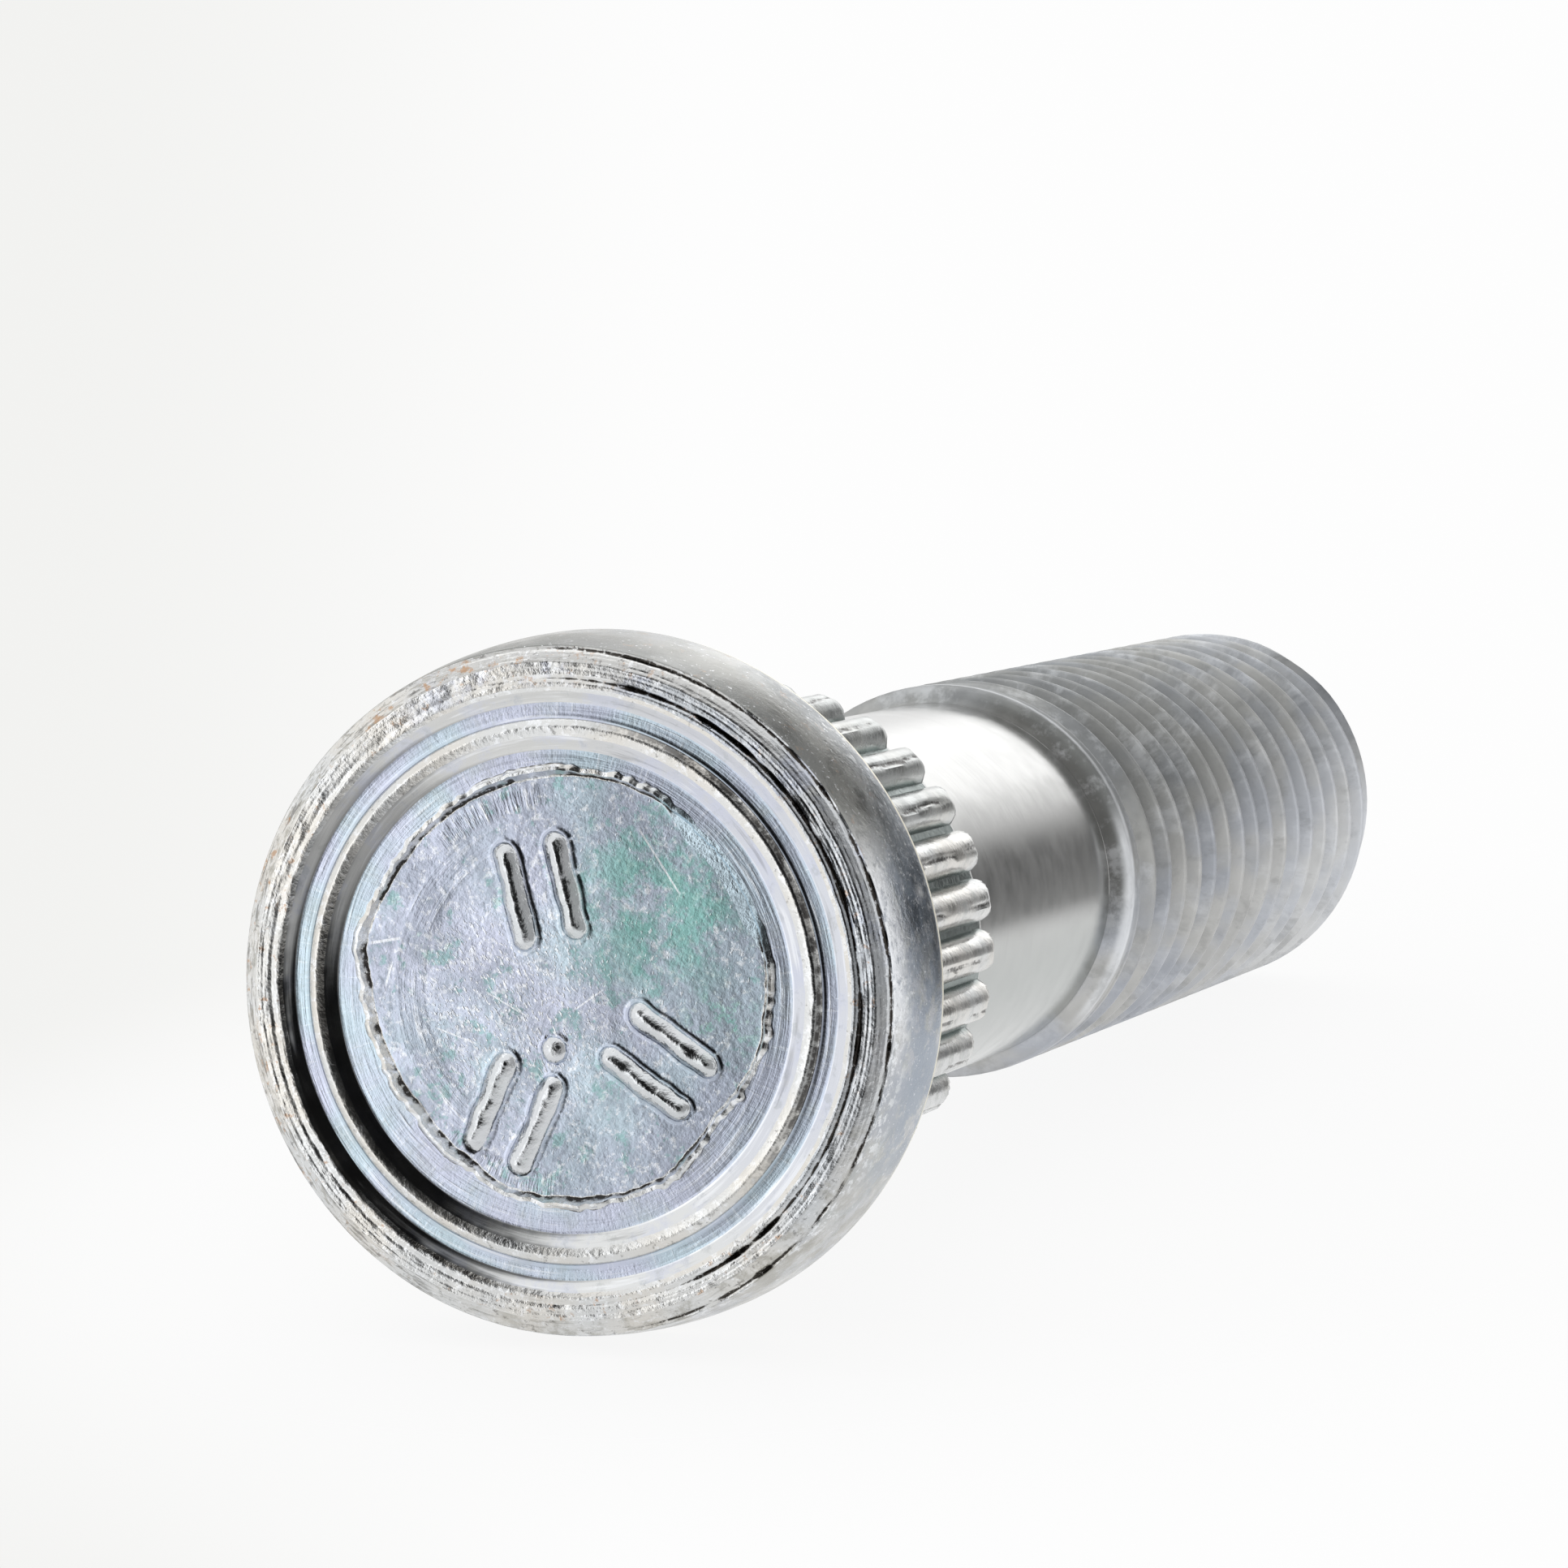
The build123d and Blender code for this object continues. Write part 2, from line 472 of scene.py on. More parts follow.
# Serrations: places across one tooth as shares of its half width, with the rise from foot to crest
TOOTH_FOOT = asin(TOOTH_BASE_WIDTH / 2 / ROOT_RADIUS)
TOOTH_FORM = (
    (-1, 0.0), (-0.9, 0.3), (-0.76, 0.56), (-0.58, 0.78), (-0.38, 0.93), (-0.22, 0.98), (-0.1, 1.0),
    (0, 1.0), (0.1, 1.0), (0.22, 0.98), (0.38, 0.93), (0.58, 0.78), (0.76, 0.56), (0.9, 0.3), (1, 0.0),
)
TOOTH_DENT = 0.02
SEAM_DEPTH = 0.07          # ragged split along each crest, left by the rolling
SEAM_MIDDLE = 0.14
SEAM_REACH = 0.15          # its half width, as a share of the tooth's half width
SEAM_WANDER = 0.12
SEAM_OPEN = (-0.5, 0.3)    # noise at which the split is closed and open
SEAM_TOP = (0.5, 0.9)      # rise of the tooth at which the split begins and is full
TOOTH_END_EASE = 0.15      # the teeth end this far before the neck's cone
TOOTH_ROUND_LENGTH = 0.6
TEETH_END = SERRATION_END - TOOTH_END_EASE
TOOTH_ROUND_START = TEETH_END - TOOTH_ROUND_LENGTH
TOOTH_ROWS = 26
TOOTH_END_ROWS = 5


def tooth_limit(height):
    """Largest radius that the rounded far ends leave at a height."""
    share = min(max((height - TOOTH_ROUND_START) / (TEETH_END - TOOTH_ROUND_START), 0), 1)
    return ROOT_RADIUS + (CREST_RADIUS - ROOT_RADIUS) * sqrt(1 - share * share)


def seam(tooth, height, share):
    """How open the ragged split along a tooth's crest is at a height and a place across the tooth."""
    place = Vector((tooth * 7.3, height * 0.45, 51))
    middle = SEAM_MIDDLE + SEAM_WANDER * (noise.noise(place) + 0.6 * noise.noise(place * 5.3))
    opened = blend(*SEAM_OPEN, noise.noise(place * 1.3) + 0.4 * noise.noise(place * 6.1))
    return opened * max(1 - abs(share - middle) / SEAM_REACH, 0)


def serration_spots(height):
    """One ring through all the teeth."""
    limit = tooth_limit(height)
    spots = []
    for tooth in range(TOOTH_COUNT):
        middle = FULL_TURN * tooth / TOOTH_COUNT
        for share, rise in TOOTH_FORM:
            dent = TOOTH_DENT * noise.noise(Vector((tooth * 3.7, 5 * share, 2.3 * height))) * rise
            radius = ROOT_RADIUS + (CREST_RADIUS - ROOT_RADIUS) * rise - abs(dent)
            opened = seam(tooth, height, share) * blend(*SEAM_TOP, rise)
            radius = min(radius - SEAM_DEPTH * opened, limit)
            spots.append((middle + share * TOOTH_FOOT, max(radius, ROOT_RADIUS), height, opened))
        spots.append((middle + pi / TOOTH_COUNT, ROOT_RADIUS, height))
    first = next(index for index, spot in enumerate(spots) if spot[0] >= 0)
    return spots[first:] + [(spot[0] + FULL_TURN, *spot[1:]) for spot in spots[:first]]


def add_serrations(skin):
    """The teeth, from the seat to their rounded far ends."""
    for start, end, rows in (
        (SEAT_HEIGHT, TOOTH_ROUND_START, TOOTH_ROWS),
        (TOOTH_ROUND_START, TEETH_END, TOOTH_END_ROWS),
    ):
        for row in range(rows):
            height = start + (end - start) * row / rows
            skin.ring(serration_spots(height), "flank" if height == SEAT_HEIGHT else "teeth")
    skin.ring(serration_spots(TEETH_END), "teeth")


# Neck, shank, thread and tip
NECK_EDGE = ((ROOT_RADIUS, SERRATION_END - 0.04), (ROOT_RADIUS - 0.03, SERRATION_END + 0.02))
FILLET_TILTS = (NECK_TAPER, 34, 22, 11, 0)
SHANK_STEPS = 5
SHANK_CORNER = 0.1         # length over which the shank's ends turn into their neighbours
THREAD_FORM = (
    # place along the pitch from the middle of the crest, share of the depth from root to crest
    (-0.16, 0.95), (-0.07, 1.0), (0.07, 1.0), (0.16, 0.95), (0.42, 0.5), (0.7, 0.05), (0.875, 0.0),
    (1.05, 0.05), (1.33, 0.5),
)
THREAD_SPARE_TURNS = 2     # turns laid out beyond each end, and held back to it
GROOVE_FADE = (-0.4, 0.3)  # turns over which the groove fades in
TIP_EDGE_WIDTH = 0.6       # outermost ring of the flat end


def thread_depth(place):
    """Share of the thread's depth at a place along the pitch."""
    place = (place - THREAD_FORM[0][0]) % PITCH + THREAD_FORM[0][0]
    ends = THREAD_FORM[1:] + ((THREAD_FORM[0][0] + PITCH, THREAD_FORM[0][1]),)
    for (start, start_depth), (end, end_depth) in zip(THREAD_FORM, ends):
        if start <= place <= end:
            return start_depth + (end_depth - start_depth) * (place - start) / (end - start)
    return 0


def thread_at(height, place, begun):
    """Radius of the threaded end at a height, a place along the pitch and a share of the groove's depth."""
    groove = THREAD_RADIUS - (THREAD_RADIUS - THREAD_FLOOR_RADIUS) * (1 - thread_depth(place)) * begun
    run_out = blend(THREAD_START, THREAD_START + THREAD_RUN_OUT, height)
    cone = SHANK_RADIUS + (THREAD_RADIUS - SHANK_RADIUS) * run_out
    chamfer = THREAD_RADIUS - (height - (TIP_HEIGHT - TIP_CHAMFER))
    return min(groove, cone, chamfer)


def add_neck(skin):
    """The cone from the serrations down to the shank, its fillet and the plain shank."""
    taper_end = SERRATION_END + (ROOT_RADIUS - SHANK_RADIUS) / tan(radians(NECK_TAPER))
    fillet_end = taper_end + NECK_FILLET * tan(radians(NECK_TAPER / 2))
    profile = list(NECK_EDGE)
    for tilt in FILLET_TILTS:
        out = SHANK_RADIUS + NECK_FILLET * (1 - cos(radians(tilt)))
        profile.append((out, fillet_end - NECK_FILLET * sin(radians(tilt))))
    first, last = fillet_end + SHANK_CORNER, THREAD_START - SHANK_CORNER
    for step in range(SHANK_STEPS + 1):
        profile.append((SHANK_RADIUS, first + (last - first) * step / SHANK_STEPS))
    profile.append((SHANK_RADIUS, THREAD_START))
    for radius, height in profile:
        skin.ring([(angle, radius, height) for angle in turn(SHANK_COUNT)], "shank")


def add_thread(skin):
    """Rows that follow the helix, held back to a plain ring at both ends."""
    per_turn = len(THREAD_FORM)
    groove_start = THREAD_START + THREAD_RUN_OUT + PITCH / 2
    turns = int((TIP_HEIGHT - THREAD_START) / PITCH) + 2 * THREAD_SPARE_TURNS
    rows = []
    for row in range(per_turn * turns):
        crest = groove_start + PITCH * (row // per_turn - THREAD_SPARE_TURNS)
        place = THREAD_FORM[row % per_turn][0]
        line = []
        for angle in turn(SHANK_COUNT):
            climb = PITCH * angle / FULL_TURN
            height = crest + place + climb
            held = min(max(height, THREAD_START), TIP_HEIGHT)
            begun = blend(*GROOVE_FADE, (crest + climb - groove_start) / PITCH)
            line.append(skin.spot(angle, thread_at(held, place + held - height, begun), held)[1])
        rows.append(line)
    for row in range(len(rows) - 1):
        low, high = rows[row], rows[row + 1]
        for step in range(SHANK_COUNT - 1):
            skin.face("thread", low[step], low[step + 1], high[step + 1], high[step])
        if row + per_turn + 1 < len(rows):
            after, beyond = rows[row + per_turn][0], rows[row + per_turn + 1][0]
            skin.face("thread", low[-1], after, beyond, high[-1])


def add_tip(skin):
    """The plain flat end."""
    tip_radius = THREAD_RADIUS - TIP_CHAMFER
    skin.edge = [skin.spot(angle, tip_radius, TIP_HEIGHT) for angle in turn(SHANK_COUNT)]
    for radius, count in ((tip_radius - TIP_EDGE_WIDTH, SHANK_COUNT), (tip_radius / 2, SHANK_COUNT // 2)):
        skin.ring([(angle, radius, TIP_HEIGHT) for angle in turn(count)], "tip")
    skin.cap(TIP_HEIGHT, (), "tip")


WELD_DISTANCE = 1e-7       # in metres
SHARP_ANGLE = 38


def make_stud(materials):
    """The whole stud as one closed mesh."""
    skin = Skin(list(materials))
    add_disc(skin)
    add_flash(skin)
    add_face(skin)
    add_flank(skin)
    add_serrations(skin)
    add_neck(skin)
    add_thread(skin)
    add_tip(skin)

    mesh = bpy.data.meshes.new("wheel_stud_body")
    mesh.from_pydata(skin.points, [], skin.faces)
    mesh.polygons.foreach_set("material_index", skin.face_finish)
    mesh.attributes.new("wear", "FLOAT", "POINT").data.foreach_set("value", skin.wear)
    for material in materials.values():
        mesh.materials.append(material)
    work = bmesh.new()
    work.from_mesh(mesh)
    bmesh.ops.remove_doubles(work, verts=work.verts, dist=WELD_DISTANCE)
    bmesh.ops.recalc_face_normals(work, faces=work.faces)
    work.to_mesh(mesh)
    work.free()
    mesh.shade_smooth()
    mesh.set_sharp_from_angle(angle=radians(SHARP_ANGLE))
    stud = bpy.data.objects.new("wheel_stud_body", mesh)
    bpy.context.scene.collection.objects.link(stud)
    return stud


# Materials
class Graph:
    """Short calls for laying out shader nodes."""

    def __init__(self, tree):
        self.tree = tree
        tree.nodes.clear()

    def feed(self, socket, value):
        if isinstance(value, bpy.types.NodeSocket):
            self.tree.links.new(value, socket)
        else:
            socket.default_value = value

    def node(self, kind, inputs=None, output=0, **settings):
        node = self.tree.nodes.new("ShaderNode" + kind)
        for key, value in settings.items():
            setattr(node, key, value)
        for key, value in (inputs or {}).items():
            self.feed(node.inputs[key], value)
        return node.outputs[output]

    def finish(self, kind, shader):
        """The tree's last node."""
        self.feed(self.tree.nodes.new("ShaderNode" + kind).inputs["Surface"], shader)

    def math(self, operation, first, second=0.0):
        return self.node("Math", {0: first, 1: second}, operation=operation)

    def times(self, *values):
        """The product of one or more values."""
        product = values[0]
        for value in values[1:]:
            product = self.math("MULTIPLY", product, value)
        return product

    def rise(self, value, low, high, start=0.0, end=1.0):
        """A smooth rise from start to end while value goes from low to high."""
        inputs = {"Value": value, "From Min": low, "From Max": high, "To Min": start, "To Max": end}
        return self.node("MapRange", inputs, interpolation_type="SMOOTHSTEP")

    def mix(self, share, first, second):
        """A colour between two colours."""
        return self.node("Mix", {0: share, 6: first, 7: second}, output=2, data_type="RGBA")

    def noise(self, place, scale, detail=2.0, roughness=0.5):
        inputs = {"Vector": place, "Scale": scale, "Detail": detail, "Roughness": roughness}
        return self.node("TexNoise", inputs)

    def vector(self, x, y, z):
        return self.node("CombineXYZ", {0: x, 1: y, 2: z})

    def scaled(self, vector, scale):
        return self.node("VectorMath", {0: vector, "Scale": scale}, operation="SCALE")

    def length(self, vector):
        return self.node("VectorMath", {0: vector}, output="Value", operation="LENGTH")

    def dot(self, first, second):
        return self.node("VectorMath", {0: first, 1: second}, output="Value", operation="DOT_PRODUCT")

    def distance(self, first, second):
        return self.node("VectorMath", {0: first, 1: second}, output="Value", operation="DISTANCE")


LILAC = (0.54, 0.57, 0.69, 1)
BLUE = (0.50, 0.61, 0.68, 1)
NEUTRAL = (0.66, 0.67, 0.67, 1)
WARM = (0.68, 0.66, 0.62, 1)
CREAM = (0.82, 0.78, 0.64, 1)
DULL = (0.41, 0.43, 0.42, 1)
GREY = (0.53, 0.53, 0.52, 1)
STEEL = (0.45, 0.47, 0.51, 1)
SLATE = (0.31, 0.355, 0.42, 1)
DUST = (0.33, 0.32, 0.28, 1)
# A dark film tint for random blotches, also the colour of painted shade on the thread and the flank
FILM_AND_SHADE = (0.16, 0.165, 0.16, 1)
# The colour of a painted shade on the flank
PAINTED_SHADE = (0.13, 0.16, 0.2, 1)
GREEN = (0.19, 0.47, 0.41, 1)
VALLEY = (0.20, 0.24, 0.23, 1)
RUST = (0.46, 0.28, 0.16, 1)
# Dark grime in grooves, seams and pits, also the colour of painted shade on the thread's cone and on the
# raised ring's outer side
GRIME_AND_SHADE = (0.05, 0.045, 0.04, 1)
PALE = (0.88, 0.9, 0.93, 1)

BASE_RELIEF = 0.002        # height of the relief that every finish has
SECTOR_EDGE = (1.3, 0.7)   # shares of its half width at which a sector ends and is full
SCRATCH_END = 0.1          # length over which a scratch fades out


class Plating(Graph):
    """Zinc plating, built up in layers of colour and of fine relief. Lengths are in millimetres."""

    def __init__(self, name, tint, second_tint, roughness):
        self.material = bpy.data.materials.new(name)
        self.material.use_nodes = True
        super().__init__(self.material.node_tree)
        self.place = self.scaled(self.node("TexCoord", output="Object"), 1 / MM)
        split = self.tree.nodes.new("ShaderNodeSeparateXYZ")
        self.feed(split.inputs[0], self.place)
        self.x, self.y, self.z = split.outputs
        flat = self.vector(self.x, self.y, 0.0)
        self.radius = self.length(flat)
        self.way = self.node("VectorMath", {0: flat}, operation="NORMALIZE")
        clouds = self.rise(self.noise(self.place, 0.35, 3.0), 0.38, 0.62)
        self.colour = self.mix(clouds, tint, second_tint)
        self.rough = self.rise(self.noise(self.place, 1.1, 3.0), 0.3, 0.7, *roughness)
        self.height = self.times(self.noise(self.place, 2.0), BASE_RELIEF)

    def paint(self, colour, *shares):
        """Covers what is there with a colour, as far as the product of the shares says."""
        self.colour = self.mix(self.times(*shares), self.colour, colour)

    def emboss(self, pattern, depth):
        """Adds a pattern to the relief."""
        self.height = self.math("ADD", self.height, self.times(pattern, depth))

    def calm(self, share):
        """Weakens the relief laid down so far."""
        self.height = self.times(self.height, share)

    def around(self, waves, per_radius, per_height):
        """A place for noise that is drawn out round the axis, along the radius or along the axis."""
        wrapped = self.scaled(self.way, waves / FULL_TURN)
        depth = self.math("ADD", self.times(self.radius, per_radius), self.times(self.z, per_height))
        return self.node("VectorMath", {0: wrapped, 1: self.vector(0.0, 0.0, depth)}, operation="ADD")

    def sector(self, seen, half_width):
        """1 near a direction of the head face as seen, in degrees, and 0 away from it."""
        middle = (cos(radians(seen)), -sin(radians(seen)), 0)
        none, full = (cos(radians(share * half_width)) for share in SECTOR_EDGE)
        return self.rise(self.dot(self.way, middle), none, full)

    def between(self, value, low, high, soft):
        """1 where a value lies between two limits."""
        above = self.rise(value, low - soft, low + soft)
        return self.times(above, self.rise(value, high + soft, high - soft))

    def off(self, right, up):
        """The way across the head face from a point as seen."""
        return self.vector(self.math("SUBTRACT", self.x, right), self.math("ADD", self.y, up), 0.0)

    def spot(self, right, up, full, none):
        """1 near a point of the head face as seen, 0 away from it."""
        return self.rise(self.length(self.off(right, up)), none, full)

    def grain(self, depth, scale=9.0):
        """Fine even relief."""
        self.emboss(self.noise(self.place, scale, 3.0, 0.6), depth)

    def lines(self, place, depth, pale, dark, mask=1.0):
        """Fine drawn lines: relief, and shares of a pale and a dark tint on the strongest."""
        pattern = self.noise(place, 1.0, 3.0, 0.6)
        self.emboss(self.times(pattern, mask), depth)
        self.paint(PALE, self.rise(pattern, 0.56, 0.7, 0.0, pale), mask)
        self.paint(GRIME_AND_SHADE, self.rise(pattern, 0.44, 0.3, 0.0, dark), mask)

    def round_lines(self, depth, pale, dark, per_mm=8.0, mask=1.0):
        self.lines(self.around(14, per_mm, per_mm), depth, pale, dark, mask)

    def radial_ticks(self, depth, pale, dark, waves=420, mask=1.0):
        self.lines(self.around(waves, 1.2, 1.2), depth, pale, dark, mask)

    def patches(self, colour, share, scale, low, high, mask=1.0, place=None):
        """Patches of a colour with ragged edges, which begin at the low noise and are full at the high."""
        pattern = self.noise(place or self.place, scale, 5.0, 0.7)
        self.paint(colour, self.rise(pattern, low, high, 0.0, share), mask)

    def flecks(self, across, along, slant, depth, pale, low, mask=1.0):
        """Short nicks on the head face, drawn out along one slanted direction, with a painted highlight in
        pale on each.
        """
        leaned = self.math("ADD", self.x, self.times(self.y, slant))
        place = self.vector(self.times(leaned, across), self.times(self.y, along), 0.0)
        nicks = self.times(self.rise(self.noise(place, 1.0, 2.0, 0.6), low, low + 0.08), mask)
        self.emboss(nicks, depth)
        self.paint(PALE, nicks, pale)

    def scratch(self, start, end, half_width, colour, share):
        """A straight scratch on the head face, between two points as seen."""
        length = hypot(end[0] - start[0], end[1] - start[1])
        along_x, along_y = (end[0] - start[0]) / length, -(end[1] - start[1]) / length
        off = self.off(*start)
        along = self.dot(off, (along_x, along_y, 0))
        across = self.math("ABSOLUTE", self.dot(off, (-along_y, along_x, 0)))
        near = self.rise(across, half_width, 0.4 * half_width)
        inside = self.between(along, SCRATCH_END, length - SCRATCH_END, SCRATCH_END)
        self.paint(colour, near, inside, share)

    def done(self):
        """Adds dark wear where the mesh has it, and closes the shader."""
        wear = self.node("Attribute", output="Fac", attribute_name="wear")
        ragged = self.rise(self.noise(self.place, 8.0, 3.0, 0.7), 0.3, 0.55, 0.5, 1.4)
        self.paint(GRIME_AND_SHADE, self.rise(self.times(wear, ragged), 0.3, 0.9))
        bump = self.node("Bump", {"Height": self.height, "Strength": 1.0, "Distance": MM})
        inputs = {"Base Color": self.colour, "Metallic": 1.0, "Roughness": self.rough, "Normal": bump}
        self.finish("OutputMaterial", self.node("BsdfPrincipled", inputs))
        return self.material


# Finish of the centre disc. Places are as seen: right, up
GREEN_STAINS = (
    # share, scale, noise at which a stain begins and is full, its place, and where it is full and ends
    (0.7, 0.8, 0.45, 0.6, (2.7, 2.6, 1.0, 3.3)),
    (0.8, 1.1, 0.45, 0.57, (4.3, -0.6, 0.3, 1.5)),
)
MARK_TINT = (0.03, 0.09)   # rise at which the marks' own tint begins and is full
TURNED_ARCS = (3.9, 4.7)   # radii between which turned lines show
HATCHING = (4.75, 5.3)     # radii between which radial ticks show
HATCHED_SECTORS = ((116, 17), (250, 18))
SCRATCHES = (
    # start, end, half width
    ((-5.45, 0.95), (-4.45, 1.15), 0.05),
    ((-4.75, 0.55), (-4.95, -0.2), 0.045),
    ((-2.2, -0.1), (-0.9, -0.75), 0.03),
    ((0.2, -0.5), (1.1, 0.15), 0.03),
    ((-3.6, -1.1), (-2.3, -1.5), 0.03),
    ((1.9, 4.3), (3.1, 2.6), 0.035),
)


def disc_plating():
    zinc = Plating("zinc_disc", LILAC, BLUE, (0.12, 0.22))
    zinc.paint(SLATE, zinc.rise(zinc.radius, 3.0, 4.3, 0.0, 0.4))
    zinc.paint(SLATE, zinc.sector(10, 60), 0.3)
    zinc.patches(LILAC, 0.8, 0.7, 0.44, 0.58, zinc.sector(190, 80))
    zinc.patches(SLATE, 0.5, 1.2, 0.5, 0.62)
    zinc.patches(SLATE, 0.65, 2.6, 0.52, 0.66)
    zinc.patches(PALE, 0.6, 4.4, 0.53, 0.65)
    zinc.grain(0.005, 4.0)
    for share, scale, low, high, spot in GREEN_STAINS:
        zinc.patches(GREEN, share, scale, low, high, zinc.spot(*spot))
    zinc.patches(GREEN, 0.4, 1.3, 0.56, 0.64)
    zinc.grain(0.003)
    nicked = zinc.rise(zinc.noise(zinc.place, 0.6), 0.45, 0.6)
    # Nicks with painted highlights in pale
    zinc.flecks(10.0, 4.5, 0.2, 0.002, 0.6, 0.62, nicked)
    zinc.flecks(11.0, 6.0, -0.5, 0.003, 0.9, 0.56, zinc.spot(-1.4, -0.4, 1.0, 3.6))
    marks = zinc.rise(zinc.z, DISC_HEIGHT - MARK_TINT[0], DISC_HEIGHT - MARK_TINT[1])
    zinc.paint(NEUTRAL, marks, 0.8)
    zinc.emboss(zinc.times(zinc.noise(zinc.place, 3.5, 3.0, 0.6), marks), 0.03)
    arcs = zinc.times(zinc.between(zinc.radius, *TURNED_ARCS, 0.1), zinc.sector(180, 55))
    zinc.round_lines(0.006, 0.6, 0.2, mask=arcs)
    for seen, half_width in HATCHED_SECTORS:
        hatched = zinc.between(zinc.radius, *HATCHING, 0.12)
        hatched = zinc.times(hatched, zinc.sector(seen, half_width))
        zinc.radial_ticks(0.012, 0.8, 0.5, 300, hatched)
    for start, end, half_width in SCRATCHES:
        zinc.scratch(start, end, half_width, PALE, 0.7)
    return zinc.done()


def flash_plating():
    zinc = Plating("zinc_flash", NEUTRAL, WARM, (0.18, 0.32))
    zinc.grain(0.02, 5.0)
    zinc.patches(PALE, 0.8, 4.0, 0.48, 0.58)
    zinc.paint(BLUE, zinc.sector(FLASH_GAP_MIDDLE, 24))
    return zinc.done()


def ring_plating():
    zinc = Plating("zinc_ring", LILAC, BLUE, (0.1, 0.2))
    zinc.paint(SLATE, zinc.sector(15, 65), 0.4)
    zinc.patches(DULL, 0.3, 1.4, 0.5, 0.64)
    zinc.grain(0.003)
    zinc.round_lines(0.008, 0.45, 0.25)
    zinc.radial_ticks(0.002, 0.25, 0.05)
    return zinc.done()


def slope_plating():
    zinc = Plating("zinc_slope", NEUTRAL, NEUTRAL, (0.06, 0.12))
    # Painted reflection: greyer at the top and lilac-grey on the right of the slopes as seen
    zinc.paint(GREY, zinc.sector(100, 60), 0.7)
    zinc.paint(LILAC, zinc.sector(15, 60), 0.4)
    zinc.patches(LILAC, 0.5, 0.5, 0.48, 0.6)
    zinc.patches(DULL, 0.4, 2.0, 0.54, 0.66)
    zinc.round_lines(0.004, 0.5, 0.3)
    return zinc.done()


def land_plating():
    zinc = Plating("zinc_land", NEUTRAL, WARM, (0.12, 0.24))
    zinc.grain(0.012, 6.0)
    zinc.patches(PALE, 0.6, 3.0, 0.52, 0.64)
    zinc.patches(GRIME_AND_SHADE, 0.5, 4.0, 0.58, 0.68)
    # Painted shade: dark patches on the outer side of the raised ring, on the right as seen
    fall = zinc.between(zinc.radius, LAND_EDGE + 0.04, FALL_FOOT + 0.02, 0.03)
    zinc.patches(GRIME_AND_SHADE, 0.9, 3.0, 0.36, 0.56, zinc.times(fall, zinc.sector(20, 55)))
    return zinc.done()


def band_plating():
    zinc = Plating("zinc_band", WARM, NEUTRAL, (0.12, 0.26))
    zinc.grain(0.014, 6.0)
    zinc.patches(LILAC, 0.6, 0.6, 0.48, 0.6, zinc.sector(60, 60))
    zinc.paint(SLATE, zinc.sector(20, 60), 0.45)
    zinc.lines(zinc.around(50, 6.0, 6.0), 0.005, 0.5, 0.15)
    zinc.patches(PALE, 0.5, 5.0, 0.52, 0.62)
    zinc.patches(GRIME_AND_SHADE, 0.5, 6.0, 0.61, 0.7)
    zinc.patches(RUST, 0.7, 2.6, 0.58, 0.68)
    return zinc.done()


def bevel_plating():
    zinc = Plating("zinc_bevel", WARM, NEUTRAL, (0.16, 0.3))
    zinc.grain(0.014, 6.0)
    zinc.patches(LILAC, 0.6, 0.6, 0.48, 0.6, zinc.sector(60, 60))
    zinc.paint(SLATE, zinc.sector(20, 60), 0.35)
    zinc.lines(zinc.around(60, 6.0, 6.0), 0.012, 0.4, 0.4)
    zinc.paint(GREY, zinc.sector(85, 30), 0.9)
    zinc.patches(PALE, 0.5, 6.0, 0.55, 0.65)
    zinc.patches(GRIME_AND_SHADE, 0.55, 5.0, 0.57, 0.68)
    zinc.patches(GRIME_AND_SHADE, 0.6, 1.0, 0.53, 0.62, zinc.sector(175, 75), zinc.around(60, 7.0, 7.0))
    zinc.patches(DUST, 0.6, 1.0, 0.52, 0.62, zinc.sector(175, 75), zinc.around(130, 5.0, 5.0))
    zinc.patches(RUST, 0.8, 2.0, 0.56, 0.66, zinc.sector(150, 75))
    zinc.patches(DUST, 0.6, 1.2, 0.46, 0.62, zinc.sector(300, 40))
    return zinc.done()


